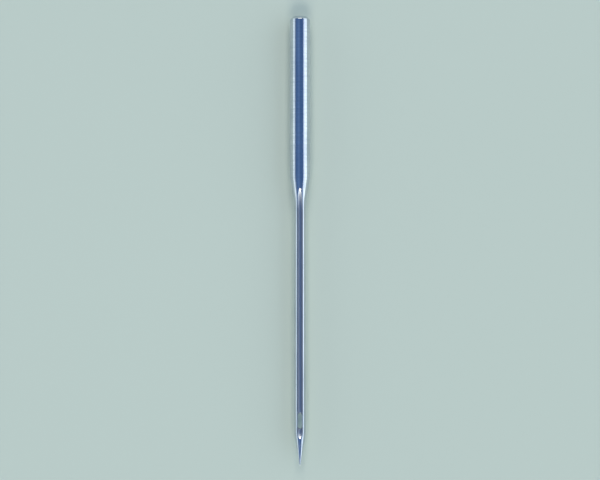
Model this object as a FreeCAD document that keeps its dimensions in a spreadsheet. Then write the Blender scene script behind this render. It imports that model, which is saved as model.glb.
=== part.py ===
# Industrial sewing machine needle with a round shank.
# The needle lies flat on its shank: its axis is level and runs along X, from the butt at -X to
# the point at +X. The long groove faces up (+Z), the scarf and the short groove face down.
# Lengths are in millimetres and angles in degrees.
import FreeCAD, Part
import Sketcher
import math
import os

Vector = FreeCAD.Vector

# Driving dimensions, one cell of the spreadsheet each
SIZES = {
    # Turned outline
    "shank_diameter": 2.0,
    "shank_length": 16.0,
    "butt_bevel": 0.3,
    "shoulder_length": 2.4,
    "shoulder_rounding": 3.0,
    "blade_diameter": 1.1,
    "butt_to_eye": 39.0,
    "eye_to_tip": 3.6,
    "point_angle": 19.0,
    "point_rounding": 8.0,
    "tip_radius": 0.05,
    # Long groove on the front, which guides the thread from the shoulder to the eye
    "long_groove_width": 0.5,
    "long_groove_depth": 0.33,
    "long_groove_start": 1.2,
    "long_groove_end": 0.1,
    "long_groove_upper_runout": 6.0,
    "long_groove_lower_runout": 1.6,
    # Scarf, the hollow ground in the back above the eye, where the hook passes
    "scarf_gap": 0.25,
    "scarf_length": 5.2,
    "scarf_depth": 0.26,
    "scarf_lower_radius": 3.0,
    "scarf_upper_radius": 9.0,
    # Short groove on the back, above and below the eye
    "short_groove_width": 0.46,
    "short_groove_depth": 0.2,
    "short_groove_above": 0.9,
    "short_groove_below": 0.3,
    "short_groove_runout": 2.5,
    # Eye, a slot that widens from the middle of the blade towards both of its mouths
    "eye_length": 1.5,
    "eye_width": 0.42,
    "eye_flare": 4.0,
    "eye_rim_rounding": 0.08,
    # How far a cutting profile stands out past the metal that it removes
    "overcut": 0.3,
}

# Places along the needle and out from its axis, as formulas of the sheet's cells
BLADE_START = "sizes.shank_length + sizes.shoulder_length"
EYE_BOTTOM = "sizes.butt_to_eye + sizes.eye_length"
TIP = f"{EYE_BOTTOM} + sizes.eye_to_tip"
SHANK_RADIUS = "sizes.shank_diameter / 2"
BLADE_RADIUS = "sizes.blade_diameter / 2"

# The sketcher's numbers for the places of its geometry
START, END, CENTRE = 1, 2, 3
ROOT = (-1, 1)
X_AXIS = -1


class Chain:
    """Joined lines and arcs of a sketch, drawn from one point to the next."""

    def __init__(self, sketch, start):
        self.sketch = sketch
        self.point = Vector(*start)
        self.first = None
        self.last = None

    def join(self, index, begin, finish, smooth):
        if self.last is None:
            self.first = (index, begin)
        else:
            relate(self.sketch, "Tangent" if smooth else "Coincident", *self.last, index, begin)
        self.last = (index, finish)
        return index

    def line(self, end, smooth=False):
        end = Vector(*end)
        index = self.sketch.addGeometry(Part.LineSegment(self.point, end))
        self.point = end
        return self.join(index, START, END, smooth)

    def arc(self, centre, end, turns_left, smooth=True):
        centre, end = Vector(*centre), Vector(*end)
        ends = (self.point, end) if turns_left else (end, self.point)
        angles = [math.atan2(p.y - centre.y, p.x - centre.x) for p in ends]
        circle = Part.Circle(centre, Vector(0, 0, 1), (end - centre).Length)
        index = self.sketch.addGeometry(Part.ArcOfCircle(circle, *angles))
        self.point = end
        begin, finish = (START, END) if turns_left else (END, START)
        return self.join(index, begin, finish, smooth)

    def close(self, smooth=False):
        relate(self.sketch, "Tangent" if smooth else "Coincident", *self.last, *self.first)


def value(formula):
    """What a formula of the sheet's cells comes to now."""
    return float(needle.evalExpression(formula))


def relate(sketch, kind, *places):
    """A constraint with no size, such as Horizontal or Tangent."""
    sketch.addConstraint(Sketcher.Constraint(kind, *places))


def dimension(sketch, kind, places, formula):
    """A constraint whose size follows a formula of the sheet's cells."""
    size = value(formula)
    if kind == "Angle":
        size = math.radians(size)
    index = sketch.addConstraint(Sketcher.Constraint(kind, *places, size))
    sketch.setExpression(f"Constraints[{index}]", formula)


def corner_mark(sketch, x, y, first, second):
    """A construction point where two lines would meet without the rounding between them."""
    mark = sketch.addGeometry(Part.Point(Vector(x, y)), True)
    relate(sketch, "PointOnObject", mark, START, first)
    relate(sketch, "PointOnObject", mark, START, second)
    return mark


def rounded_corner(corner, arriving, leaving, radius):
    """Centre, first and last point of the arc that rounds a corner between two directions."""
    reach = radius * math.tan(arriving.getAngle(leaving) / 2)
    side = math.copysign(1, arriving.cross(leaving).z)
    first = corner - arriving * reach
    centre = first + Vector(-arriving.y, arriving.x) * side * radius
    return centre, first, corner + leaving * reach


def origin_sketch(name, plane):
    """A new sketch on one of the needle's own origin planes."""
    sketch = needle.newObject("Sketcher::SketchObject", name)
    support = next(f for f in needle.Origin.OriginFeatures if f.Role == plane)
    sketch.AttachmentSupport = [(support, "")]
    sketch.MapMode = "FlatFace"
    return sketch


def draw_outline():
    """Half of the lengthwise section: butt, shank, shoulder, blade and point above the axis."""
    shank_r, blade_r, tip_r = value(SHANK_RADIUS), value(BLADE_RADIUS), SIZES["tip_radius"]
    bevel, rounding = SIZES["butt_bevel"], SIZES["shoulder_rounding"]
    shank_corner = Vector(SIZES["shank_length"], shank_r)
    blade_corner = Vector(value(BLADE_START), blade_r)
    half_angle = math.radians(SIZES["point_angle"] / 2)

    along = Vector(1, 0)
    shoulder_fall = (blade_corner - shank_corner).normalize()
    point_fall = Vector(math.cos(half_angle), -math.sin(half_angle))
    tip_centre = Vector(value(TIP) - tip_r, 0)
    tip_start = tip_centre + Vector(math.sin(half_angle), math.cos(half_angle)) * tip_r
    point_corner = Vector(tip_start.x - (blade_r - tip_start.y) / math.tan(half_angle), blade_r)
    top_centre, top_first, top_last = rounded_corner(shank_corner, along, shoulder_fall, rounding)
    foot_centre, foot_first, foot_last = rounded_corner(blade_corner, shoulder_fall, along, rounding)
    point_centre, point_first, point_last = rounded_corner(
        point_corner, along, point_fall, SIZES["point_rounding"])

    sketch = origin_sketch("outline", "XZ_Plane")
    chain = Chain(sketch, (0, 0))
    butt = chain.line((0, shank_r - bevel))
    butt_edge = chain.line((bevel, shank_r))
    shank = chain.line(top_first)
    shoulder_top = chain.arc(top_centre, top_last, turns_left=False)
    shoulder = chain.line(foot_first, smooth=True)
    shoulder_foot = chain.arc(foot_centre, foot_last, turns_left=True)
    blade = chain.line(point_first, smooth=True)
    point_start = chain.arc(point_centre, point_last, turns_left=False)
    point = chain.line(tip_start, smooth=True)
    tip = chain.arc(tip_centre, (value(TIP), 0), turns_left=False)
    axis = chain.line((0, 0))
    chain.close()

    relate(sketch, "Coincident", butt, START, *ROOT)
    relate(sketch, "Vertical", butt)
    for level in (shank, blade, axis):
        relate(sketch, "Horizontal", level)
    relate(sketch, "PointOnObject", tip, CENTRE, X_AXIS)
    shank_mark = corner_mark(sketch, *shank_corner[:2], shank, shoulder)
    blade_mark = corner_mark(sketch, *blade_corner[:2], shoulder, blade)

    for direction in ("DistanceX", "DistanceY"):
        dimension(sketch, direction, (butt_edge, START, butt_edge, END), "sizes.butt_bevel")
    dimension(sketch, "DistanceY", (*ROOT, shank, START), SHANK_RADIUS)
    dimension(sketch, "DistanceX", (*ROOT, shank_mark, START), "sizes.shank_length")
    dimension(sketch, "DistanceX", (*ROOT, blade_mark, START), BLADE_START)
    dimension(sketch, "DistanceY", (*ROOT, blade, START), BLADE_RADIUS)
    dimension(sketch, "Radius", (shoulder_top,), "sizes.shoulder_rounding")
    dimension(sketch, "Radius", (shoulder_foot,), "sizes.shoulder_rounding")
    dimension(sketch, "Radius", (point_start,), "sizes.point_rounding")
    dimension(sketch, "Angle", (point,), "-sizes.point_angle / 2")
    dimension(sketch, "Radius", (tip,), "sizes.tip_radius")
    dimension(sketch, "DistanceX", (*ROOT, axis, START), TIP)
    return sketch


def turn_body():
    """The round needle, before anything is pressed or ground into it."""
    turned = needle.newObject("PartDesign::Revolution", "turned_needle")
    turned.Profile = draw_outline()
    turned.ReferenceAxis = (turned.Profile[0], ["H_Axis"])
    turned.Angle = 360


def press_groove(name, side, floor_start, floor_end, upper_runout, lower_runout):
    """A thread groove with a round floor that rises out of the metal along an arc at each end.

    side is 1 on the front and -1 on the back. The four others are formulas: where the level
    floor starts and ends along the needle, and the radii of the arcs beyond it.
    """
    floor_height = f"{side} * ({BLADE_RADIUS} - sizes.{name}_depth)"
    exit_height = f"{side} * ({SHANK_RADIUS} + sizes.overcut)"
    rim_height = f"{side} * ({BLADE_RADIUS} + sizes.overcut)"
    half_width = f"sizes.{name}_width / 2"
    start, end, floor, top = (value(f) for f in (floor_start, floor_end, floor_height, exit_height))
    upper_r, lower_r = value(upper_runout), value(lower_runout)
    rise = abs(top - floor)
    upper_reach, lower_reach = (math.sqrt(r ** 2 - (r - rise) ** 2) for r in (upper_r, lower_r))

    path = origin_sketch(f"{name}_path", "XZ_Plane")
    front = side > 0
    chain = Chain(path, (start - upper_reach, top))
    upper = chain.arc((start, floor + side * upper_r), (start, floor), turns_left=front)
    level = chain.line((end, floor), smooth=True)
    lower = chain.arc((end, floor + side * lower_r), (end + lower_reach, top), turns_left=front)
    relate(path, "Horizontal", level)
    dimension(path, "DistanceX", (*ROOT, level, START), floor_start)
    dimension(path, "DistanceX", (*ROOT, level, END), floor_end)
    dimension(path, "DistanceY", (*ROOT, level, START), floor_height)
    dimension(path, "Radius", (upper,), upper_runout)
    dimension(path, "Radius", (lower,), lower_runout)
    for outer_end in (chain.first, chain.last):
        dimension(path, "DistanceY", (*ROOT, *outer_end), exit_height)

    # The groove's section: half a circle on the floor, with upright walls above it
    section = origin_sketch(f"{name}_section", "YZ_Plane")
    section.setExpression("AttachmentOffset.Base.z", floor_start)
    wall, rim = value(half_width), value(rim_height)
    middle = floor + side * wall
    chain = Chain(section, (-wall, rim))
    left = chain.line((-wall, middle))
    round_floor = chain.arc((0, middle), (wall, middle), turns_left=front)
    right = chain.line((wall, rim), smooth=True)
    lid = chain.line((-wall, rim))
    chain.close()
    for upright in (left, right):
        relate(section, "Vertical", upright)
    relate(section, "Horizontal", lid)
    dimension(section, "DistanceX", (*ROOT, round_floor, CENTRE), "0")
    dimension(section, "Radius", (round_floor,), half_width)
    dimension(section, "DistanceY", (*ROOT, round_floor, CENTRE), f"{floor_height} + {side} * {half_width}")
    dimension(section, "DistanceY", (*ROOT, lid, START), rim_height)

    groove = needle.newObject("PartDesign::SubtractivePipe", name)
    groove.Profile = section
    groove.Spine = path


def grind_scarf():
    """The hollow in the back above the eye: a level floor between two arcs of the wheel."""
    lower_end = "sizes.butt_to_eye - sizes.scarf_gap"
    upper_end = f"{lower_end} - sizes.scarf_length"
    floor_height = f"sizes.scarf_depth - {BLADE_RADIUS}"
    below = f"-{BLADE_RADIUS} - sizes.overcut"
    surface, floor, clear = -value(BLADE_RADIUS), value(floor_height), value(below)
    upper_r, lower_r = SIZES["scarf_upper_radius"], SIZES["scarf_lower_radius"]

    def reach(radius, drop):
        return math.sqrt(radius ** 2 - (radius - drop) ** 2)

    floor_start = value(upper_end) + reach(upper_r, floor - surface)
    floor_stop = value(lower_end) - reach(lower_r, floor - surface)
    sketch = origin_sketch("scarf_profile", "XZ_Plane")
    chain = Chain(sketch, (floor_start - reach(upper_r, floor - clear), clear))
    upper = chain.arc((floor_start, floor - upper_r), (floor_start, floor), turns_left=False)
    level = chain.line((floor_stop, floor), smooth=True)
    lower = chain.arc((floor_stop, floor - lower_r),
                      (floor_stop + reach(lower_r, floor - clear), clear), turns_left=False)
    outside = chain.line((floor_start - reach(upper_r, floor - clear), clear))
    chain.close()

    relate(sketch, "Horizontal", level)
    relate(sketch, "Horizontal", outside)
    dimension(sketch, "DistanceY", (*ROOT, level, START), floor_height)
    dimension(sketch, "DistanceY", (*ROOT, outside, START), below)
    for arc, place in ((upper, upper_end), (lower, lower_end)):
        mark = sketch.addGeometry(Part.Point(Vector(value(place), surface)), True)
        relate(sketch, "PointOnObject", mark, START, arc)
        dimension(sketch, "DistanceX", (*ROOT, mark, START), place)
        dimension(sketch, "DistanceY", (*ROOT, mark, START), f"-{BLADE_RADIUS}")
    dimension(sketch, "Radius", (upper,), "sizes.scarf_upper_radius")
    dimension(sketch, "Radius", (lower,), "sizes.scarf_lower_radius")

    scarf = needle.newObject("PartDesign::Pocket", "scarf")
    scarf.Profile = sketch
    scarf.Type = "ThroughAll"
    scarf.Midplane = True


def pierce_eye():
    """The eye: one slot on the middle plane, cut up and down with a flare each way."""
    radius = value("sizes.eye_width / 2")
    top, bottom = SIZES["butt_to_eye"] + radius, value(EYE_BOTTOM) - radius
    slot = origin_sketch("eye_slot", "XY_Plane")
    chain = Chain(slot, (top, -radius))
    chain.line((bottom, -radius))
    lower = chain.arc((bottom, 0), (bottom, radius), turns_left=True)
    chain.line((top, radius), smooth=True)
    upper = chain.arc((top, 0), (top, -radius), turns_left=True)
    chain.close(smooth=True)
    for arc in (upper, lower):
        relate(slot, "PointOnObject", arc, CENTRE, X_AXIS)
    relate(slot, "Equal", upper, lower)
    dimension(slot, "Radius", (upper,), "sizes.eye_width / 2")
    dimension(slot, "DistanceX", (*ROOT, upper, CENTRE), "sizes.butt_to_eye + sizes.eye_width / 2")
    dimension(slot, "DistanceX", (*ROOT, lower, CENTRE), f"{EYE_BOTTOM} - sizes.eye_width / 2")
    for name, upwards in (("eye_front", True), ("eye_back", False)):
        mouth = needle.newObject("PartDesign::Pocket", name)
        mouth.Profile = slot
        mouth.Type = "Length"
        mouth.Reversed = upwards
        mouth.setExpression("Length", f"{BLADE_RADIUS} + sizes.overcut")
        mouth.setExpression("TaperAngle", "sizes.eye_flare")


def round_eye():
    """Both rims of the eye, rounded so that they don't cut the thread."""
    doc.recompute()
    pierced = needle.Tip
    spread = value(BLADE_RADIUS) * math.tan(math.radians(SIZES["eye_flare"]))
    mouth = FreeCAD.BoundBox(SIZES["butt_to_eye"] - spread, -SIZES["eye_width"] / 2 - spread,
                             -value(BLADE_RADIUS), value(EYE_BOTTOM) + spread,
                             SIZES["eye_width"] / 2 + spread, value(BLADE_RADIUS))
    rims = []
    for number, edge in enumerate(pierced.Shape.Edges, start=1):
        points = [vertex.Point for vertex in edge.Vertexes]
        in_one_half = all(p.z > 0 for p in points) or all(p.z < 0 for p in points)
        if in_one_half and all(mouth.isInside(p) for p in points):
            rims.append(f"Edge{number}")
    rounding = needle.newObject("PartDesign::Fillet", "eye_rims")
    rounding.Base = (pierced, rims)
    rounding.setExpression("Radius", "sizes.eye_rim_rounding")


doc = FreeCAD.newDocument("sewing_machine_needle")
sheet = doc.addObject("Spreadsheet::Sheet", "sizes")
for row, (name, size) in enumerate(SIZES.items(), start=1):
    sheet.set(f"A{row}", name)
    sheet.set(f"B{row}", str(size))
    sheet.setAlias(f"B{row}", name)
doc.recompute()

needle = doc.addObject("PartDesign::Body", "needle")
needle.Label = "needle"
turn_body()
press_groove("long_groove", 1,
             f"{BLADE_START} + sizes.long_groove_start", f"{EYE_BOTTOM} + sizes.long_groove_end",
             "sizes.long_groove_upper_runout", "sizes.long_groove_lower_runout")
grind_scarf()
press_groove("short_groove", -1,
             "sizes.butt_to_eye - sizes.short_groove_above", f"{EYE_BOTTOM} + sizes.short_groove_below",
             "sizes.short_groove_runout", "sizes.short_groove_runout")
pierce_eye()
round_eye()

# The needle's middle is over the origin, and its shank rests on the plane z = 0
needle.setExpression("Placement.Base.x", f"-({TIP}) / 2")
needle.setExpression("Placement.Base.z", SHANK_RADIUS)
doc.recompute()

for item in doc.Objects:
    if "Invalid" in item.State or "Error" in item.State:
        raise RuntimeError(f"{item.Name} failed: {item.State}")
for item in needle.Group:
    if item.TypeId == "Sketcher::SketchObject" and not item.FullyConstrained:
        raise RuntimeError(f"{item.Name} isn't fully constrained")
    cut = getattr(item, "BaseFeature", None)
    if cut is not None and item.Shape.Volume >= cut.Shape.Volume:
        raise RuntimeError(f"{item.Name} removes nothing")
if needle.Shape.isNull() or not needle.Shape.isValid() or len(needle.Shape.Solids) != 1:
    raise RuntimeError("the needle isn't one valid solid")

os.makedirs("parts", exist_ok=True)
needle.Shape.exportStep("parts/needle.step")
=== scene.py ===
"""A sewing machine needle of polished steel, lying on a pale table under soft light."""

import math

import bpy
import numpy as np
from bpy.props import FloatProperty, FloatVectorProperty, IntProperty, PointerProperty
from bpy.types import NodeSocket, Operator, Panel, PropertyGroup
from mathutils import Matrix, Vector


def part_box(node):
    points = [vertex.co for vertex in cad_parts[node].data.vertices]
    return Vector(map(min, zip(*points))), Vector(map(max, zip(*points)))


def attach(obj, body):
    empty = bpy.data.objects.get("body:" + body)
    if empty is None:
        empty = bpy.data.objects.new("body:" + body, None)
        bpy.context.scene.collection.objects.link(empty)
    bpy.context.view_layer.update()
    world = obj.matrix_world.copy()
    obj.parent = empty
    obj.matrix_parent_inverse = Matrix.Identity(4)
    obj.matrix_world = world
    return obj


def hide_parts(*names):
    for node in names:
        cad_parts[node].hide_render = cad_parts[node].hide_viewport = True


bl_info = {
    "name": "Sewing machine needle",
    "version": (1, 0, 0),
    "blender": (4, 5, 0),
    "location": "3D View > Sidebar > Needle",
    "description": "Builds a sewing machine needle round its CAD solid, with a stage to show it on",
    "category": "Object",
}

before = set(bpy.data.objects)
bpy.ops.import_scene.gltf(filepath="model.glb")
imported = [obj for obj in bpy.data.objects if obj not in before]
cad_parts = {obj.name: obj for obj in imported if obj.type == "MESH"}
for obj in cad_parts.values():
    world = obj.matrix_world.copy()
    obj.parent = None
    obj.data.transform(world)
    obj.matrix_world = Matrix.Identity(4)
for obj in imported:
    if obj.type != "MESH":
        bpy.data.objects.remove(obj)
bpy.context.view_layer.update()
cad_low, cad_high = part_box("needle")

MM = 0.001
CAD_LENGTH = (cad_high.x - cad_low.x) / MM
CAD_DIAMETER = (cad_high.z - cad_low.z) / MM

# Points of the turned outline over a small edge, over a long sweep and over the tip
EDGE_POINTS, SWEEP_POINTS, TIP_POINTS = 9, 25, 11

# Rings on the butt's flat face, as shares of its radius
FLAT_RINGS = np.array((0.25, 0.5, 0.75, 0.92))

# Radius in millimetres under which a point of the outline lies on the axis
ON_AXIS = 1e-6

# Least reach of the long groove in millimetres, and the most of the reach that its lip may take
LEAST_REACH, LIP_SHARE = 0.06, 0.25

# Crowding of the columns towards the long groove's lip and towards the scarf's edge
LIP_CROWDING, SCARF_CROWDING = 0.3, 0.5

# The back's reach past the scarf's edge and its least reach, as shares of the blade's radius
BACK_MARGIN, LEAST_BACK = 0.055, 0.68

# Rounds in which the eye's wall finds the faces that it meets, and of evening them out at the back
SEAT_ROUNDS, SOFTENING_ROUNDS = 40, 16

# Millimetres that the recesses may reach before and past the grooves' level stretches, the depth at
# which they are at their dullest, and the share of that dullness which the scarf goes without
RECESS_LEAD, RECESS_TAIL, RECESS_DEPTH, SCARF_SHINE = 3.0, 1.0, 0.1, 0.7

# Millimetres past the shank over which its grinding rings fade out
RING_FADE = 0.6

# Metres: half the table's side, the lamps' distance from the needle and their lengths
TABLE_REACH, LAMP_DISTANCE, SIDE_LAMP_LENGTH, END_LAMP_LENGTH = 1.5, 6.0, 12.0, 3.6

# Tints of the lamps, as linear red, green and blue
COOL, WARM = (0.85, 0.93, 1.0), (1.0, 0.9, 0.73)

# The surroundings go by the parts of a unit direction. The horizon ends and the ceiling begins at
# these upward parts. The paler strip overhead has its middle at a sideways part, and from there it
# is even as far as its core and has faded out at its reach.
HORIZON_END, CEILING_START = 0.12, 0.8
STRIP_SIDE, STRIP_CORE, STRIP_REACH = -0.26, 0.08, 0.36

# Width and height of the picture in pixels
PICTURE = (600, 480)


# Settings

def millimetres(name, size, description):
    """A length that is written here in millimetres and kept in metres."""
    return FloatProperty(
        name=name, description=description, default=size * MM, min=0.0, precision=6, unit="LENGTH"
    )


def degrees(name, angle, description):
    """An angle that is written here in degrees and kept in radians."""
    return FloatProperty(
        name=name, description=description, default=math.radians(angle), min=0.0, subtype="ANGLE"
    )


def amount(name, value, description):
    """A plain number with no unit."""
    return FloatProperty(name=name, description=description, default=value, min=0.0)


def faces(name, number, least, description):
    """A number of faces."""
    return IntProperty(name=name, description=description, default=number, min=least)


def srgb(hex_colour):
    """The linear red, green and blue of an sRGB colour that is written as six hex digits."""
    parts = [int(hex_colour[i : i + 2], 16) / 255 for i in (0, 2, 4)]
    return [p / 12.92 if p <= 0.04045 else ((p + 0.055) / 1.055) ** 2.4 for p in parts]


def colour(name, hex_colour, description):
    """A colour that is written here in sRGB hex and kept linear."""
    return FloatVectorProperty(
        name=name, description=description, default=srgb(hex_colour), min=0.0, max=1.0,
        size=3, subtype="COLOR",
    )


class NeedleTurning(PropertyGroup):
    """Sizes of the turned outline, from the butt to the point."""

    length: millimetres("Length", CAD_LENGTH, "From the butt to the tip of the point")
    shank_diameter: millimetres(
        "Shank diameter", CAD_DIAMETER, "Across the round shank, which the needle bar clamps"
    )
    shank_length: millimetres("Shank length", 16.0, "From the butt to the shoulder's cone")
    butt_bevel: millimetres("Butt bevel", 0.3, "Width of the bevel round the butt")
    butt_edge: millimetres("Butt edge", 0.07, "Rounding of the two edges of the butt's bevel")
    shoulder_length: millimetres("Shoulder length", 2.4, "Length of the cone above the blade")
    shoulder_rounding: millimetres(
        "Shoulder rounding", 3.0, "Radius where the cone meets the shank and the blade"
    )
    blade_diameter: millimetres("Blade diameter", 1.1, "Across the blade, which is the needle's size")
    point_angle: degrees("Point angle", 19.0, "Between the two sides of the point's cone")
    point_rounding: millimetres("Point rounding", 8.0, "Radius where the blade runs into the point")
    tip_radius: millimetres("Tip radius", 0.05, "Radius of the rounded tip")


class NeedleCuts(PropertyGroup):
    """Sizes of the grooves, the scarf and the eye."""

    long_groove_width: millimetres("Long groove width", 0.5, "Across the front groove")
    long_groove_floor: millimetres("Long groove floor", 0.22, "Height of its floor above the axis")
    long_groove_start: millimetres("Long groove start", 19.6, "Where its floor becomes level")
    long_groove_end: millimetres("Long groove end", 40.6, "Where its floor starts to rise again")
    long_groove_upper_runout: millimetres(
        "Long groove upper run-out", 6.0, "Radius on which the floor rises to the shoulder"
    )
    long_groove_lower_runout: millimetres(
        "Long groove lower run-out", 1.6, "Radius on which the floor rises to the point"
    )
    groove_lip: millimetres("Groove lip", 0.035, "Reach of the rounding along the long groove's edges")
    groove_end_edge: millimetres("Groove ends", 0.03, "Height over which its ends are rounded")
    short_groove_width: millimetres("Short groove width", 0.46, "Across the back groove")
    short_groove_floor: millimetres("Short groove floor", 0.35, "Depth of its floor below the axis")
    short_groove_start: millimetres("Short groove start", 38.1, "Where its floor becomes level")
    short_groove_end: millimetres("Short groove end", 40.8, "Where its floor starts to fall again")
    short_groove_runout: millimetres("Short groove run-out", 2.5, "Radius at both of its ends")
    short_groove_edge: millimetres("Short groove edge", 0.07, "Height over which it is rounded")
    scarf_floor: millimetres("Scarf floor", 0.29, "Depth of the ground face below the axis")
    scarf_start: millimetres("Scarf start", 35.698, "Where the ground face becomes level")
    scarf_end: millimetres("Scarf end", 37.528, "Where the ground face starts to fall again")
    scarf_upper_radius: millimetres("Scarf upper radius", 9.0, "Radius of its sweep from the blade")
    scarf_lower_radius: millimetres("Scarf lower radius", 3.0, "Radius of its sweep to the eye")
    scarf_edge: millimetres("Scarf edge", 0.025, "Height over which it is rounded")
    eye_start: millimetres("Eye start", 39.0, "From the butt to the eye's near end")
    eye_length: millimetres("Eye length", 1.5, "Length of the eye at its narrowest, inside")
    eye_width: millimetres("Eye width", 0.42, "Width of the eye at its narrowest, inside")
    eye_flare: degrees("Eye flare", 4.0, "Lean of the eye's walls to the front and to the back")
    eye_waist: millimetres("Eye waist", 0.1, "Rounding of the ridge half-way through the eye")
    eye_rim: millimetres("Eye rim", 0.08, "Reach of the rounding at the ends of the eye's rims")
    front_rim_side: millimetres(
        "Front rim at the sides", 0.03, "Reach of that rounding along the eye's sides in the front"
    )
    back_rim_side: millimetres(
        "Back rim at the sides", 0.1, "Reach of that rounding along the eye's sides in the back"
    )


class NeedleMesh(PropertyGroup):
    """How finely the surface is divided."""

    groove_columns: faces("Groove columns", 26, 4, "Faces from the middle of a groove to its edge")
    lip_columns: faces("Lip columns", 6, 2, "Faces over a rounded lip")
    side_columns: faces("Side columns", 16, 4, "Faces down one side of the blade")
    eye_stations: faces("Eye stations", 80, 8, "Faces along the eye, an even number")
    eye_border_rows: faces("Eye border rows", 26, 4, "Faces from an opening's border to its rim")
    eye_rim_rows: faces("Eye rim rows", 8, 2, "Faces over a rounded rim of the eye")
    eye_wall_rows: faces("Eye wall rows", 10, 2, "Faces down the eye's wall")


class NeedleFinish(PropertyGroup):
    """Colours and polish of the steel."""

    plating: colour("Plating", "D7DBE3", "Bright plated steel")
    plating_haze: colour("Plating haze", "BFC6D2", "The same plating where it is a little duller")
    recess: colour("Recess", "B0B6C0", "Steel inside the grooves and the eye, where polish can't reach")
    polish: amount("Polish", 0.09, "Roughness of the polished surface")
    polish_spread: amount("Polish spread", 0.12, "Roughness that the polishing marks add at most")
    mark_depth: millimetres("Mark depth", 0.0015, "Depth of the polishing marks")
    recess_roughness: amount("Recess roughness", 0.3, "Roughness inside the grooves and on the scarf")


class StageSettings(PropertyGroup):
    """Table, light and camera."""

    table: colour("Table", "BDCCC5", "Pale table top")
    horizon: colour("Horizon", "BFCFCB", "Surroundings low down")
    ceiling: colour("Ceiling", "4B6B9A", "Surroundings overhead")
    ceiling_strip: colour("Ceiling strip", "6181B0", "Paler strip overhead, in line with the needle")
    right_lamp: amount("Right lamp", 1.1, "Brightness of the lamp beside the needle's right side")
    left_lamp: amount("Left lamp", 0.66, "Brightness of the lamp beside the needle's left side")
    end_lamps: amount("End lamps", 5.7, "Brightness of the lamps beyond the needle's two ends")
    fill: amount("Fill", 1.0, "Brightness of the surroundings")
    focal_length: amount("Focal length", 85.0, "Of the camera, in millimetres")
    elevation: degrees("Elevation", 88.0, "Angle of the camera above the table")
    margin: amount("Margin", 1.07, "Height of the picture over the needle's length")


def in_millimetres(group):
    """The group's lengths in millimetres, with its angles and plain numbers as they are."""
    values = {}
    for key in group.bl_rna.properties.keys():
        if key in ("rna_type", "name"):
            continue
        prop = group.bl_rna.properties[key]
        value = getattr(group, key)
        values[key] = value / MM if prop.unit == "LENGTH" else value
    return values


# Shape of the needle

def smooth_max(a, b, rounding):
    """The larger of two heights. Where they differ by less than the rounding, the square of what is
    missing, over four times the rounding, is added, and that rounds the crease between them."""
    missing = np.maximum(rounding - np.abs(a - b), 0)
    return np.maximum(a, b) + missing**2 / (4 * rounding)


def share_between(x, start, end):
    """How far each place has come from start to end, from 0 to 1."""
    return np.clip((x - start) / (end - start), 0, 1)


def crowded(share, crowding):
    """Shares from 0 to 1 that lie closer together near 1: each is multiplied by one plus the
    crowding, less the crowding times itself."""
    return share * (1 + crowding - crowding * share)


def pulled_curve(s, start, pull, end):
    """A curve from start to end as s goes from 0 to 1, pulled towards a third point. Their weights
    are the square of one less s, twice s times one less s, and the square of s."""
    return (1 - s) ** 2 * start + 2 * s * (1 - s) * pull + s**2 * end


def arc_rise(x, start, end, start_radius, end_radius):
    """How far a cutter's floor has left its level stretch: nothing between start and end, and beyond
    them the radius less the root of the radius squared less the distance squared."""
    before, after = np.maximum(start - x, 0), np.maximum(x - end, 0)
    rise_before = start_radius - np.sqrt(np.maximum(start_radius**2 - before**2, 0))
    rise_after = end_radius - np.sqrt(np.maximum(end_radius**2 - after**2, 0))
    return rise_before + rise_after


def rounded_line(corners, arcs):
    """A line through the corners, where each inner corner is an arc, given as its radius and its
    count of points. The arc starts a radius times the tangent of half the turn before the corner,
    and its points are the start, plus the radius times the sine of the angle along the line, plus
    the radius times one less the cosine across it."""
    points = [corners[0]]
    for before, corner, after, (radius, count) in zip(corners, corners[1:], corners[2:], arcs):
        along = (corner - before) / np.linalg.norm(corner - before)
        onward = (after - corner) / np.linalg.norm(after - corner)
        turn = math.acos(np.clip(along @ onward, -1, 1))
        across = (onward - (along @ onward) * along) / math.sin(turn)
        start = corner - radius * math.tan(turn / 2) * along
        angle = np.linspace(0, turn, count)[:, None]
        points.extend(start + radius * (np.sin(angle) * along + (1 - np.cos(angle)) * across))
    points.append(corners[-1])
    return np.array(points).T


def turned_outline(turning):
    """Distance from the butt and radius of the turned needle, from the middle of the butt to the
    tip. The last corner is where the point's cone crosses the plane that touches the tip."""
    t = turning
    shank, blade = t["shank_diameter"] / 2, t["blade_diameter"] / 2
    half_angle = t["point_angle"] / 2
    tip_corner = t["tip_radius"] * math.tan((math.pi / 2 - half_angle) / 2)
    point_start = t["length"] - (blade - tip_corner) / math.tan(half_angle)
    corners = np.array([
        (0, 0),
        (0, shank - t["butt_bevel"]),
        (t["butt_bevel"], shank),
        (t["shank_length"], shank),
        (t["shank_length"] + t["shoulder_length"], blade),
        (point_start, blade),
        (t["length"], tip_corner),
        (t["length"], 0),
    ])
    edge, shoulder = (t["butt_edge"], EDGE_POINTS), (t["shoulder_rounding"], SWEEP_POINTS)
    point, tip = (t["point_rounding"], SWEEP_POINTS), (t["tip_radius"], TIP_POINTS)
    return rounded_line(corners, (edge, edge, shoulder, shoulder, point, tip))


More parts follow.
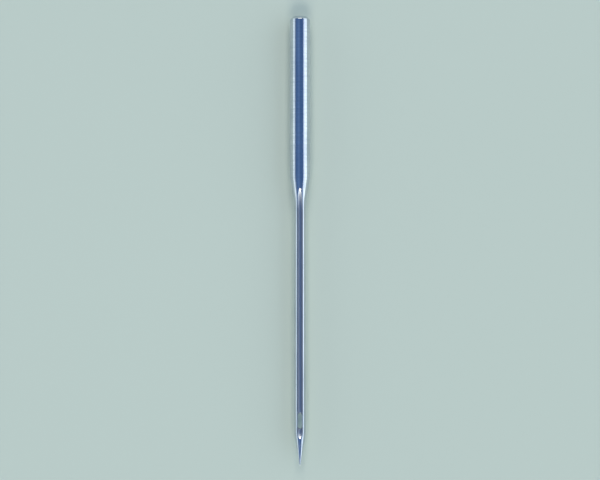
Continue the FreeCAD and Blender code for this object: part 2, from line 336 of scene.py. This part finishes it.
class Blade:
    """The cross-sections of the blade, each as wide as the turned outline and cut from the front by
    the long groove and from the back by the scarf and the short groove."""

    def __init__(self, cuts, outline):
        self.cuts = cuts
        self.outline = outline
        self.front = cuts["long_groove_width"] / 2
        self.back = cuts["short_groove_width"] / 2

    def radius(self, x):
        """Radius of the turned outline at a distance from the butt."""
        return np.interp(x, *self.outline)

    def front_centre(self, x):
        """Height of the centre of the long groove's round bottom."""
        c = self.cuts
        return c["long_groove_floor"] + self.front + arc_rise(
            x, c["long_groove_start"], c["long_groove_end"],
            c["long_groove_upper_runout"], c["long_groove_lower_runout"],
        )

    def front_reach(self, x):
        """Length of the long groove's outline from its middle to its edge. The round bottom crosses
        the turned circle at the height (c squared + R squared - r squared) / 2c, where c is its
        centre's height. Where that is above its centre, it has turned a quarter, and a straight
        wall goes on to the circle. Past the groove's ends the reach keeps a least width."""
        centre, radius = self.front_centre(x), self.radius(x)
        crossing = (centre**2 + radius**2 - self.front**2) / (2 * centre)
        half_width = np.sqrt(np.clip(radius**2 - crossing**2, 0, self.front**2))
        wall = np.sqrt(np.maximum(radius**2 - self.front**2, 0)) - centre
        turned = np.where(crossing < centre, np.arcsin(half_width / self.front), math.pi / 2)
        reach = self.front * turned + np.where(crossing < centre, 0, np.maximum(wall, 0))
        return np.maximum(reach, LEAST_REACH)

    def front_lip(self, x):
        """Reach of the lip's rounding, which shrinks with the groove."""
        return np.minimum(self.cuts["groove_lip"], LIP_SHARE * self.front_reach(x))

    def front_point(self, x, reach):
        """Side and height of a point of the front at a reach from the middle: a quarter of a circle,
        then a straight wall, and nowhere higher than the turned circle, which it meets softly."""
        angle = np.clip(reach / self.front, -math.pi / 2, math.pi / 2)
        side = self.front * np.sin(angle)
        wall = np.maximum(np.abs(reach) - self.front * math.pi / 2, 0)
        floor = self.front_centre(x) - self.front * np.cos(angle) + wall
        circle = np.sqrt(np.maximum(self.radius(x) ** 2 - side**2, 0))
        return side, -smooth_max(-floor, -circle, self.cuts["groove_end_edge"])

    def back_parts(self, x, side):
        """Heights of the turned circle, the short groove and the scarf at a point of the back. The
        groove is a circle's upper half, and the scarf is level across the blade."""
        c = self.cuts
        circle = -np.sqrt(np.maximum(self.radius(x) ** 2 - side**2, 0))
        centre = -c["short_groove_floor"] - self.back - arc_rise(
            x, c["short_groove_start"], c["short_groove_end"],
            c["short_groove_runout"], c["short_groove_runout"],
        )
        groove = centre + np.sqrt(np.maximum(self.back**2 - side**2, 0))
        scarf = -c["scarf_floor"] - arc_rise(
            x, c["scarf_start"], c["scarf_end"], c["scarf_upper_radius"], c["scarf_lower_radius"]
        )
        return circle, groove, scarf

    def back_height(self, x, side):
        """Height of the back: the highest of the circle, the groove and the scarf, with its creases
        rounded."""
        circle, groove, scarf = self.back_parts(x, side)
        blade = smooth_max(circle, groove, self.cuts["short_groove_edge"])
        return smooth_max(blade, scarf, self.cuts["scarf_edge"])

    def back_reach(self, x):
        """Half the width of the back that is worked out from heights: just past the scarf's edge,
        which is where its level crosses the turned circle."""
        radius = self.radius(x)
        scarf = self.back_parts(x, 0 * x)[2]
        edge = np.sqrt(np.maximum(radius**2 - scarf**2, 0))
        return np.maximum(edge + BACK_MARGIN * radius, LEAST_BACK * radius)

    def half_section(self, x, columns):
        """Side and height of one half of each cross-section, from the middle of the front to the
        middle of the back: the groove, its lip, the side of the turned circle and the back. The lip
        is a curve from the groove to the circle that the corner between them pulls outwards."""
        inner, lip, side = columns
        x = x[:, None]
        radius = self.radius(x)
        reach, rounding = self.front_reach(x), self.front_lip(x)

        share = np.linspace(0, 1, inner + 1)
        groove = self.front_point(x, (reach - rounding) * crowded(share, LIP_CROWDING))

        corner = self.front_point(x, reach)
        lip_angle = np.arctan2(*corner) + rounding / radius
        lip_end = radius * np.sin(lip_angle), radius * np.cos(lip_angle)
        s = np.linspace(0, 1, lip + 1)[1:-1]
        curve = [pulled_curve(s, a[:, -1:], b, c) for a, b, c in zip(groove, corner, lip_end)]

        back_reach = self.back_reach(x)
        back_angle = math.pi - np.arcsin(back_reach / radius)
        angle = lip_angle + (back_angle - lip_angle) * np.linspace(0, 1, side + 1)
        circle = radius * np.sin(angle), radius * np.cos(angle)

        back_side = back_reach * crowded(share[-2::-1], SCARF_CROWDING)
        back = back_side, self.back_height(x, back_side)
        return [np.hstack(parts) for parts in zip(groove, curve, circle, back)]


def slot_loop(cuts, side_faces, end_faces):
    """Centres and outward directions round the eye, from the middle of its near end to the middle of
    its far end and back. A point of a wall is a centre plus the half width times its direction. The
    end faces cover the first eighth of a turn, and the side faces share the rest of the quarter
    and half of the straight side by length."""
    radius = cuts["eye_width"] / 2
    near = cuts["eye_start"] + radius
    straight = cuts["eye_length"] / 2 - radius
    arc = radius * math.pi / 4
    travel = np.linspace(0, arc + straight, side_faces // 2 + 1)
    angle = np.concatenate((
        np.linspace(0, math.pi / 4, end_faces + 1)[:-1],
        math.pi / 4 + np.minimum(travel, arc) / radius,
    ))
    centre = np.concatenate((np.zeros(end_faces), np.maximum(travel - arc, 0))) + near
    middle = near + straight
    far = slice(-2, None, -1)
    centre = np.concatenate((centre, 2 * middle - centre[far]))
    along = np.concatenate((-np.cos(angle), np.cos(angle[far])))
    across = np.concatenate((np.sin(angle), np.sin(angle[far])))
    back = slice(-2, 0, -1)
    return (
        np.concatenate((centre, centre[back])),
        np.concatenate((along, along[back])),
        np.concatenate((across, -across[back])),
    )


def eye_wall(cuts, loop, height):
    """Points of the eye's wall at a height. Its half width grows away from the mid-plane by the
    flare's tangent times the distance, and a root of squares rounds the ridge in the middle."""
    centre, along, across = loop
    waist = cuts["eye_waist"]
    spread = math.tan(cuts["eye_flare"]) * (np.sqrt(height**2 + waist**2) - waist)
    half_width = cuts["eye_width"] / 2 + spread
    return np.stack(np.broadcast_arrays(
        centre + half_width * along, half_width * across, height
    ), axis=-1)


def loop_outward(x, across, loop_step):
    """Each point of a closed loop moved outwards, square to the loop, by its own step."""
    dx = np.roll(x, -1) - np.roll(x, 1)
    da = np.roll(across, -1) - np.roll(across, 1)
    size = np.hypot(dx, da)
    return x - loop_step * da / size, across + loop_step * dx / size


def softened(values, times):
    """Values round a closed loop, where each becomes half itself and a quarter of each neighbour,
    as many times as asked."""
    for _ in range(times):
        values = (np.roll(values, 1) + 2 * values + np.roll(values, -1)) / 4
    return values


def eye_tube(blade, front_border, back_border, loop, rows):
    """Rows of points from the edge of the opening in the front, over the rounded rim, down the wall
    and over the other rim to the edge of the opening in the back. Borders are given as distance
    from the butt and reach, on the surface that each face of the blade follows."""
    cuts = blade.cuts
    border_rows, rim_rows, wall_rows = rows
    end_share = loop[1] ** 2
    front_rim = cuts["eye_rim"] * end_share + cuts["front_rim_side"] * (1 - end_share)
    back_rim = cuts["eye_rim"] * end_share + cuts["back_rim_side"] * (1 - end_share)

    front_height = np.full(len(front_rim), cuts["long_groove_floor"])
    back_height = np.full(len(front_rim), -cuts["short_groove_floor"])
    for _ in range(SEAT_ROUNDS):
        x, side, _height = eye_wall(cuts, loop, front_height).T
        front_height = blade.front_centre(x) - np.sqrt(blade.front**2 - side**2)
        x, side, _height = eye_wall(cuts, loop, back_height).T
        back_height = blade.back_height(x, side)
    back_height = softened(back_height, SOFTENING_ROUNDS)
    front_edge = eye_wall(cuts, loop, front_height)
    back_edge = eye_wall(cuts, loop, back_height)

    def front_surface(x, reach):
        return np.stack((x, *blade.front_point(x, reach)), axis=-1)

    def back_surface(x, side):
        return np.stack((x, side, blade.back_height(x, side)), axis=-1)

    front_reach = blade.front * np.arcsin(front_edge[:, 1] / blade.front)
    front_start = loop_outward(front_edge[:, 0], front_reach, front_rim)
    back_start = loop_outward(back_edge[:, 0], back_edge[:, 1], back_rim)
    inward = np.linspace(0, 1, border_rows + 1)[1:, None]
    front_ring = front_surface(*(b + inward * (r - b) for b, r in zip(front_border, front_start)))
    back_ring = back_surface(*(b + inward * (r - b) for b, r in zip(back_border, back_start)))

    front_wall, back_wall = front_height - front_rim, back_height + back_rim
    s = np.linspace(0, 1, rim_rows + 1)[1:, None, None]
    front_bend = pulled_curve(s, front_ring[-1], front_edge, eye_wall(cuts, loop, front_wall))
    back_bend = pulled_curve(s, back_ring[-1], back_edge, eye_wall(cuts, loop, back_wall))
    down = np.linspace(0, 1, wall_rows + 1)[1:-1, None]
    wall = eye_wall(cuts, loop, front_wall + down * (back_wall - front_wall))
    return np.concatenate((front_ring, front_bend, wall, back_bend[::-1], back_ring[::-1]))


def even_steps(*stretches):
    """Even steps over stretches that follow each other. Each is given as its start and its number of
    faces, and the last one is only where they end."""
    return np.concatenate([
        np.linspace(start, end, number, endpoint=False)
        for (start, number), (end, _number) in zip(stretches, stretches[1:])
    ])


class RingPlaces:
    """Distances from the butt of the rings of points, in even steps that are finer at the shoulder,
    the scarf and the eye. The blade's rings are cut sections, and the others are round."""

    # Millimetres from the butt to where the outline's own points end and the even steps begin
    BUTT_ARCS, FIRST_RING = 0.5, 0.55
    # From the shoulder's start back to where the columns start to turn, and on to the first cut ring
    TURN_LEAD, CUT_LEAD = 0.4, 0.9
    # Before and past the scarf's level stretch, and on both sides of the eye
    SCARF_LEAD, SCARF_TAIL, EYE_MARGIN = 2.3, 0.2, 0.25
    # From the short groove's end on to the last cut ring
    CUT_TAIL = 0.8
    # Before the tip: the columns are even again, the even steps end, and the outline's points begin
    EVEN_LEAD, LAST_RING, TIP_ARC = 0.5, 0.1, 0.08

    def __init__(self, turning, cuts, eye_faces):
        shoulder, self.tip = turning["shank_length"], turning["length"]
        self.turn_start, self.cut_start = shoulder - self.TURN_LEAD, shoulder + self.CUT_LEAD
        self.cut_end = cuts["short_groove_end"] + self.CUT_TAIL
        self.eye_start = cuts["eye_start"] - self.EYE_MARGIN
        eye_end = cuts["eye_start"] + cuts["eye_length"] + self.EYE_MARGIN
        self.shank = even_steps((self.FIRST_RING, 32), (self.turn_start, 30), (self.cut_start, 0))
        self.blade = np.append(
            even_steps(
                (self.cut_start, 58),
                (cuts["long_groove_start"], 55),
                (cuts["scarf_start"] - self.SCARF_LEAD, 84),
                (cuts["scarf_end"] + self.SCARF_TAIL, 32),
                (self.eye_start, eye_faces),
                (eye_end, 40),
                (self.cut_end, 0),
            ),
            self.cut_end,
        )
        self.point = even_steps((self.cut_end, 44), (self.tip - self.LAST_RING, 0))[1:]


def round_half(radius, angle):
    """Side and height of one half of round cross-sections, at angles from the top."""
    return radius[:, None] * np.sin(angle), radius[:, None] * np.cos(angle)


def half_rings(turning, outline, blade, places, columns):
    """Distance from the butt, side and height of one half of each ring. The columns of the round
    rings are even at the butt and at the tip, and turn bit by bit to those of the cut sections."""
    outline_x, outline_radius = outline
    off_axis = outline_radius > ON_AXIS
    cut_side, cut_height = blade.half_section(places.blade, columns)
    first_angle, last_angle = np.arctan2(cut_side[[0, -1]], cut_height[[0, -1]])
    even_angle = np.linspace(0, math.pi, cut_side.shape[1])

    at_butt = (outline_x < places.BUTT_ARCS) & off_axis
    flat = turning["shank_diameter"] / 2 - turning["butt_bevel"] - turning["butt_edge"]
    butt_x = np.concatenate((0 * FLAT_RINGS, outline_x[at_butt], places.shank))
    butt_radius = np.concatenate((
        flat * FLAT_RINGS, outline_radius[at_butt], blade.radius(places.shank)
    ))
    to_cut = share_between(butt_x[:, None], places.turn_start, places.cut_start)
    to_cut = to_cut**2 * (3 - 2 * to_cut)
    butt = round_half(butt_radius, even_angle + to_cut * (first_angle - even_angle))

    at_tip = (outline_x > places.tip - places.TIP_ARC) & off_axis
    tip_x = np.concatenate((places.point, outline_x[at_tip]))
    tip_radius = np.concatenate((blade.radius(places.point), outline_radius[at_tip]))
    to_even = share_between(tip_x[:, None], places.cut_end, places.tip - places.EVEN_LEAD)
    tip = round_half(tip_radius, last_angle + to_even * (even_angle - last_angle))

    return (
        np.concatenate((butt_x, places.blade, tip_x)),
        np.vstack((butt[0], cut_side, tip[0])),
        np.vstack((butt[1], cut_height, tip[1])),
    )


def whole_loop(half_side, half_height):
    """Closes each half cross-section with its mirror image on the other side."""
    mirrored = slice(-2, 0, -1)
    return (
        np.hstack((half_side, -half_side[:, mirrored])),
        np.hstack((half_height, half_height[:, mirrored])),
    )


def opening_border(rows, across):
    """Point numbers round an opening, from the middle of its near end along its +Y side to its far
    end, and back along its other side. The rows hold the numbers of its rings from end to end, and
    the last of the columns across it is the one at its +Y side."""
    middle = len(across) // 2
    near, far = rows[0, across], rows[-1, across]
    onward, back = rows[:-1, across[-1]], rows[:0:-1, across[0]]
    return np.concatenate((near[middle:-1], onward, far[:0:-1], back, near[:middle]))


def grid_faces(rows, columns):
    """Four-cornered faces between neighbouring rows and columns of a closed grid of point numbers."""
    across = np.roll(rows, -1, axis=1)
    corners = np.stack((rows[:-1], rows[1:], across[1:], across[:-1]), axis=-1)
    return corners[:, columns].reshape(-1, 4)


def needle_points(turning, cuts, mesh):
    """Points and faces of the whole needle: rings round the turned outline, closed by one point at
    the butt and one at the tip, with an opening in the front and the back that the eye's tube
    joins."""
    outline = turned_outline(turning)
    body = (outline[0] > 0) & (outline[0] < turning["length"])
    blade = Blade(cuts, outline[:, body])
    places = RingPlaces(turning, cuts, mesh.eye_stations)
    inner = mesh.groove_columns
    x, half_side, half_height = half_rings(
        turning, outline, blade, places, (inner, mesh.lip_columns, mesh.side_columns)
    )
    side, height = whole_loop(half_side, half_height)
    rings = np.stack((np.broadcast_to(x[:, None], side.shape), side, height), axis=-1)
    rings = rings.reshape(-1, 3)
    number = np.arange(len(rings)).reshape(side.shape)
    count = number.shape[1]

    start = int(np.argmin(np.abs(x - places.eye_start)))
    end = start + mesh.eye_stations
    span = np.arange(-inner, inner + 1)
    front_span, back_span = span % count, count // 2 - span
    front_border = opening_border(number[start : end + 1], front_span)
    back_border = opening_border(number[start : end + 1], back_span)
    front, back = rings[front_border], rings[back_border]
    front_reach = blade.front * np.arcsin(np.clip(front[:, 1] / blade.front, -1, 1))
    tube = eye_tube(
        blade, (front[:, 0], front_reach), (back[:, 0], back[:, 1]),
        slot_loop(cuts, mesh.eye_stations, inner),
        (mesh.eye_border_rows, mesh.eye_rim_rows, mesh.eye_wall_rows),
    )[:-1]

    tube_number = len(rings) + np.arange(tube[..., 0].size).reshape(tube.shape[:2])
    tube_rows = np.vstack((front_border, tube_number, back_border))
    butt_pole, tip_pole = len(rings) + tube_number.size + np.arange(2)
    points = np.concatenate((rings, tube.reshape(-1, 3), [(0, 0, 0), (turning["length"], 0, 0)]))

    everywhere = np.arange(count)
    sides = np.setdiff1d(everywhere, np.concatenate((front_span[:-1], back_span[1:])))
    quads = np.concatenate((
        grid_faces(number[: start + 1], everywhere),
        grid_faces(number[start : end + 1], sides),
        grid_faces(number[end:], everywhere),
        grid_faces(tube_rows, np.arange(tube_rows.shape[1])),
    ))
    first, last = number[0], number[-1]
    fans = np.concatenate((
        np.stack((np.full(count, butt_pole), first, np.roll(first, -1)), axis=-1),
        np.stack((last, np.full(count, tip_pole), np.roll(last, -1)), axis=-1),
    ))
    used, renumbered = np.unique(np.concatenate((quads.ravel(), fans.ravel())), return_inverse=True)
    quads, fans = np.split(renumbered, [quads.size])
    return points[used], quads.reshape(-1, 4), fans.reshape(-1, 3), blade


def recess_and_scarf(points, blade):
    """How much each point belongs to a recess, by how far it lies below the turned surface, and how
    much to the ground face of the scarf, both from 0 to 1."""
    cuts = blade.cuts
    x, side, height = points.T
    below = blade.radius(x) - np.hypot(side, height)
    start, end = cuts["long_groove_start"] - RECESS_LEAD, cuts["short_groove_end"] + RECESS_TAIL
    inside = (x > start) & (x < end)
    circle, groove, scarf = blade.back_parts(x, side)
    edge = cuts["scarf_edge"]
    lead = (scarf - np.maximum(circle, groove)) / edge
    ground = np.clip(lead, 0, 1) * (np.abs(height - scarf) < 2 * edge) * inside
    recess = np.clip(below / RECESS_DEPTH, 0, 1) * inside * (1 - SCARF_SHINE * ground)
    return recess, ground


def mesh_object(name, points, quads, fans):
    """A smooth-shaded object from points in metres, four-cornered faces and three-cornered ones."""
    mesh = bpy.data.meshes.new(name)
    mesh.vertices.add(len(points))
    mesh.vertices.foreach_set("co", points.astype(np.float32).ravel())
    corners = np.concatenate((quads.ravel(), fans.ravel()))
    sizes = np.concatenate((np.full(len(quads), 4), np.full(len(fans), 3)))
    mesh.loops.add(len(corners))
    mesh.loops.foreach_set("vertex_index", corners.astype(np.int32))
    mesh.polygons.add(len(sizes))
    starts = np.concatenate(([0], np.cumsum(sizes)[:-1]))
    mesh.polygons.foreach_set("loop_start", starts.astype(np.int32))
    mesh.polygons.foreach_set("use_smooth", np.ones(len(sizes), bool))
    mesh.update(calc_edges=True)
    if mesh.validate():
        raise RuntimeError(f"{name} has faces that don't hold together")
    obj = bpy.data.objects.new(name, mesh)
    bpy.context.scene.collection.objects.link(obj)
    return obj


# Materials

def add_node(tree, kind, inputs=None, **settings):
    """Adds a node, sets what is given, and links each input whose value is another node's output."""
    node = tree.nodes.new(kind)
    for name, value in settings.items():
        setattr(node, name, value)
    for key, value in (inputs or {}).items():
        if isinstance(value, NodeSocket):
            tree.links.new(value, node.inputs[key])
        else:
            node.inputs[key].default_value = value
    return node


def plated_steel(finish):
    """Carbon steel, hardened, plated and polished. It is a mirror with a cool tint, and its polish
    leaves marks along the blade and faint rings round the ground shank, which stretch and break up
    its highlights. Polish doesn't reach into the grooves and the eye, so the metal is greyer there,
    and the scarf keeps the marks that its wheel ground across it."""
    material = bpy.data.materials.new("plated polished carbon steel")
    material.use_nodes = True
    tree = material.node_tree
    tree.nodes.clear()
    place = add_node(tree, "ShaderNodeTexCoord").outputs["Object"]

    # Grain sizes along and across the needle, in millimetres. Real polishing marks, rings of the
    # ground shank and marks across the scarf are about 0.01 to 0.02 mm wide, and these are 0.04 and
    # 0.16 mm, or they wouldn't show. The haze on the plating comes in patches of its real size.
    grain_sizes = {
        "fine along": (3.0, 0.04),
        "coarse along": (9.0, 0.16),
        "fine across": (0.04, 2.0),
        "coarse across": (0.16, 5.0),
        "patches": (4.0, 0.9),
    }
    grain = {}
    for name, (size_x, size_yz) in grain_sizes.items():
        scale = (1 / (size_x * MM), 1 / (size_yz * MM), 1 / (size_yz * MM))
        stretched = add_node(
            tree, "ShaderNodeMapping", {"Vector": place, "Scale": scale}
        ).outputs["Vector"]
        grain[name] = add_node(
            tree, "ShaderNodeTexNoise", {"Vector": stretched, "Scale": 1.0, "Detail": 2.0}
        ).outputs["Fac"]
    lengthwise, crosswise = (
        add_node(
            tree, "ShaderNodeMix",
            {"Factor": 0.5, 2: grain[f"fine {way}"], 3: grain[f"coarse {way}"]}, data_type="FLOAT",
        ).outputs[0]
        for way in ("along", "across")
    )

    recess, scarf, shank = (
        add_node(
            tree, "ShaderNodeAttribute", attribute_name=name, attribute_type="GEOMETRY"
        ).outputs["Fac"]
        for name in ("recess", "scarf_face", "shank")
    )
    across = add_node(
        tree, "ShaderNodeMath", {0: scarf, 1: shank}, operation="MAXIMUM"
    ).outputs[0]
    marks = add_node(
        tree, "ShaderNodeMix", {"Factor": across, 2: lengthwise, 3: crosswise}, data_type="FLOAT"
    ).outputs[0]

    # The ranges for haze and polish stretch the middle of the mixed noise over their whole span.
    haze = add_node(
        tree, "ShaderNodeMix", {"Factor": 0.5, 2: grain["patches"], 3: marks}, data_type="FLOAT"
    ).outputs[0]
    hazy = add_node(
        tree, "ShaderNodeMapRange", {"Value": haze, "From Min": 0.4, "From Max": 0.62}
    ).outputs[0]
    plating = add_node(
        tree, "ShaderNodeMix",
        {"Factor": hazy, 6: (*finish.plating, 1), 7: (*finish.plating_haze, 1)}, data_type="RGBA",
    ).outputs[2]
    base = add_node(
        tree, "ShaderNodeMix", {"Factor": recess, 6: plating, 7: (*finish.recess, 1)},
        data_type="RGBA",
    ).outputs[2]

    polished = add_node(
        tree, "ShaderNodeMapRange",
        {
            "Value": marks, "From Min": 0.38, "From Max": 0.62,
            "To Min": finish.polish, "To Max": finish.polish + finish.polish_spread,
        },
    ).outputs[0]
    roughness = add_node(
        tree, "ShaderNodeMix", {"Factor": recess, 2: polished, 3: finish.recess_roughness},
        data_type="FLOAT",
    ).outputs[0]
    bump = add_node(
        tree, "ShaderNodeBump", {"Height": marks, "Strength": 0.5, "Distance": finish.mark_depth}
    ).outputs["Normal"]

    shader = add_node(
        tree, "ShaderNodeBsdfPrincipled",
        {"Base Color": base, "Metallic": 1.0, "Roughness": roughness, "Normal": bump},
    ).outputs[0]
    add_node(tree, "ShaderNodeOutputMaterial", {"Surface": shader})
    return material


def matt_table(stage):
    """A laminate table top with a matt, slightly uneven coating, which spreads light evenly."""
    material = bpy.data.materials.new("matt table laminate")
    material.use_nodes = True
    tree = material.node_tree
    tree.nodes.clear()
    place = add_node(tree, "ShaderNodeTexCoord").outputs["Object"]

    # The uneven patches of the coating are about 56 mm wide, or 18 to a metre, and they are at most
    # 3% darker.
    cloud = add_node(
        tree, "ShaderNodeTexNoise", {"Vector": place, "Scale": 18.0, "Detail": 2.0}
    ).outputs["Fac"]
    tone = add_node(
        tree, "ShaderNodeMapRange", {"Value": cloud, "To Min": 0.97, "To Max": 1.0}
    ).outputs[0]
    base = add_node(
        tree, "ShaderNodeMix", {"Factor": 1.0, 6: (*stage.table, 1), 7: tone},
        data_type="RGBA", blend_type="MULTIPLY",
    ).outputs[2]
    shader = add_node(
        tree, "ShaderNodeBsdfPrincipled",
        {"Base Color": base, "Roughness": 0.85, "Specular IOR Level": 0.2},
    ).outputs[0]
    add_node(tree, "ShaderNodeOutputMaterial", {"Surface": shader})
    return material


# Operators

class NEEDLE_OT_build_needle(Operator):
    """Build the polished needle in place of the plain CAD solid"""

    bl_idname = "needle.build_needle"
    bl_label = "Build needle"

    def execute(self, context):
        settings = context.scene.needle
        turning, cuts = in_millimetres(settings.turning), in_millimetres(settings.cuts)
        points, quads, fans, blade = needle_points(turning, cuts, settings.mesh)
        recess, scarf = recess_and_scarf(points, blade)
        shank_end = turning["shank_length"]
        shank = 1 - share_between(points[:, 0], shank_end, shank_end + RING_FADE)
        axis_height = (cad_low.z + cad_high.z) / 2
        placed = points * MM + np.array((cad_low.x, 0.0, axis_height))
        needle = mesh_object("polished_needle", placed, quads, fans)
        for name, values in (("recess", recess), ("scarf_face", scarf), ("shank", shank)):
            attribute = needle.data.attributes.new(name, "FLOAT", "POINT")
            attribute.data.foreach_set("value", values.astype(np.float32))
        needle.data.materials.append(plated_steel(settings.finish))
        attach(needle, "root")
        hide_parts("needle")
        return {"FINISHED"}


class NEEDLE_OT_build_stage(Operator):
    """Build the table, the light and the camera"""

    bl_idname = "needle.build_stage"
    bl_label = "Build stage"

    def execute(self, context):
        scene, stage = context.scene, context.scene.needle.stage
        scene.view_settings.view_transform = "Standard"

        mesh = bpy.data.meshes.new("table_top")
        sides = ((-1, -1), (1, -1), (1, 1), (-1, 1))
        corners = [(x * TABLE_REACH, y * TABLE_REACH, 0) for x, y in sides]
        mesh.from_pydata(corners, [], [(0, 1, 2, 3)])
        table = bpy.data.objects.new("table_top", mesh)
        scene.collection.objects.link(table)
        mesh.materials.append(matt_table(stage))

        self.surroundings(scene, stage)
        self.lamp(
            "right_lamp", side=(0, 1), tilt=62, length=SIDE_LAMP_LENGTH, spread=42,
            brightness=stage.right_lamp, tint=COOL,
        )
        self.lamp(
            "left_lamp", side=(0, -1), tilt=72, length=SIDE_LAMP_LENGTH, spread=24,
            brightness=stage.left_lamp, tint=COOL,
        )
        for name, end in (("point_lamp", 1), ("butt_lamp", -1)):
            self.lamp(
                name, side=(end, 0), tilt=50, length=END_LAMP_LENGTH, spread=27,
                brightness=stage.end_lamps, tint=WARM,
            )
        self.camera(scene, stage)
        return {"FINISHED"}

    def surroundings(self, scene, stage):
        """Even light from low down that falls off towards a dim ceiling, where a paler strip runs
        along the needle, a little to its left."""
        world = bpy.data.worlds.new("soft_studio")
        world.use_nodes = True
        scene.world = world
        tree = world.node_tree
        tree.nodes.clear()
        direction = add_node(tree, "ShaderNodeTexCoord").outputs["Generated"]
        parts = add_node(tree, "ShaderNodeSeparateXYZ", {"Vector": direction}).outputs
        overhead = add_node(
            tree, "ShaderNodeMapRange",
            {"Value": parts["Z"], "From Min": HORIZON_END, "From Max": CEILING_START},
            interpolation_type="SMOOTHSTEP",
        ).outputs[0]
        from_strip = add_node(
            tree, "ShaderNodeMath", {0: parts["Y"], 1: STRIP_SIDE}, operation="SUBTRACT"
        ).outputs[0]
        off_strip = add_node(
            tree, "ShaderNodeMath", {0: from_strip}, operation="ABSOLUTE"
        ).outputs[0]
        beside = add_node(
            tree, "ShaderNodeMapRange",
            {"Value": off_strip, "From Min": STRIP_CORE, "From Max": STRIP_REACH},
            interpolation_type="SMOOTHSTEP",
        ).outputs[0]
        ceiling = add_node(
            tree, "ShaderNodeMix",
            {"Factor": beside, 6: (*stage.ceiling_strip, 1), 7: (*stage.ceiling, 1)},
            data_type="RGBA",
        ).outputs[2]
        tint = add_node(
            tree, "ShaderNodeMix", {"Factor": overhead, 6: (*stage.horizon, 1), 7: ceiling},
            data_type="RGBA",
        ).outputs[2]
        light = add_node(
            tree, "ShaderNodeBackground", {"Color": tint, "Strength": stage.fill}
        ).outputs[0]
        add_node(tree, "ShaderNodeOutputWorld", {"Surface": light})

    def lamp(self, name, side, tilt, length, spread, brightness, tint):
        """A soft box that faces the needle from a side, given as a direction on the table. Its tilt
        from straight up and the angle that it spans from top to bottom are in degrees, and its
        length along the table is in metres. Its power is its brightness times pi times its area."""
        data = bpy.data.lights.new(name, "AREA")
        data.shape = "RECTANGLE"
        data.size = length
        data.size_y = 2 * LAMP_DISTANCE * math.tan(math.radians(spread / 2))
        data.energy = brightness * math.pi * data.size * data.size_y
        data.color = tint
        lamp = bpy.data.objects.new(name, data)
        angle = math.radians(tilt)
        away = Vector((side[0] * math.sin(angle), side[1] * math.sin(angle), math.cos(angle)))
        lamp.location = LAMP_DISTANCE * away
        lamp.rotation_mode = "QUATERNION"
        lamp.rotation_quaternion = (-away).to_track_quat("-Z", "Y")
        lamp.visible_camera = False
        bpy.context.scene.collection.objects.link(lamp)

    def camera(self, scene, stage):
        """Looks down on the needle, with its butt at the top of the picture."""
        data = bpy.data.cameras.new("camera")
        data.lens = stage.focal_length
        data.clip_start, data.clip_end = MM, 10.0
        camera = bpy.data.objects.new("camera", data)
        scene.collection.objects.link(camera)
        width, height = PICTURE
        half_view = data.sensor_width / 2 * (height / width) / data.lens
        centre = Vector(((cad_low.x + cad_high.x) / 2, 0, (cad_low.z + cad_high.z) / 2))
        back = Vector((math.cos(stage.elevation), 0, math.sin(stage.elevation)))
        distance = stage.margin * (cad_high.x - cad_low.x) / 2 / half_view
        camera.location = centre + back * distance
        camera.rotation_mode = "QUATERNION"
        camera.rotation_quaternion = (-back).to_track_quat("-Z", "Y")
        scene.camera = camera


class NeedleSettings(PropertyGroup):
    """Everything that the sidebar shows."""

    turning: PointerProperty(name="Turning", description="Turned outline", type=NeedleTurning)
    cuts: PointerProperty(name="Cuts", description="Grooves, scarf and eye", type=NeedleCuts)
    mesh: PointerProperty(name="Mesh", description="Fineness of the surface", type=NeedleMesh)
    finish: PointerProperty(name="Finish", description="Colours and polish", type=NeedleFinish)
    stage: PointerProperty(name="Stage", description="Table, light and camera", type=StageSettings)


class NEEDLE_PT_sidebar(Panel):
    """Lists the needle's settings and the operators that build it"""

    bl_label = "Sewing machine needle"
    bl_idname = "NEEDLE_PT_sidebar"
    bl_space_type = "VIEW_3D"
    bl_region_type = "UI"
    bl_category = "Needle"

    def draw(self, context):
        for operator in OPERATORS:
            self.layout.operator(operator.bl_idname)
        settings = context.scene.needle
        for part in ("turning", "cuts", "mesh", "finish", "stage"):
            box = self.layout.box()
            box.label(text=part.capitalize())
            group = getattr(settings, part)
            for key in group.__annotations__:
                box.prop(group, key)


OPERATORS = (NEEDLE_OT_build_needle, NEEDLE_OT_build_stage)
CLASSES = (
    NeedleTurning, NeedleCuts, NeedleMesh, NeedleFinish, StageSettings, NeedleSettings,
    *OPERATORS, NEEDLE_PT_sidebar,
)


def register():
    for item in CLASSES:
        bpy.utils.register_class(item)
    bpy.types.Scene.needle = PointerProperty(type=NeedleSettings)


def unregister():
    del bpy.types.Scene.needle
    for item in reversed(CLASSES):
        bpy.utils.unregister_class(item)


def main():
    register()
    bpy.ops.needle.build_needle()
    bpy.ops.needle.build_stage()


if __name__ == "__main__":
    main()
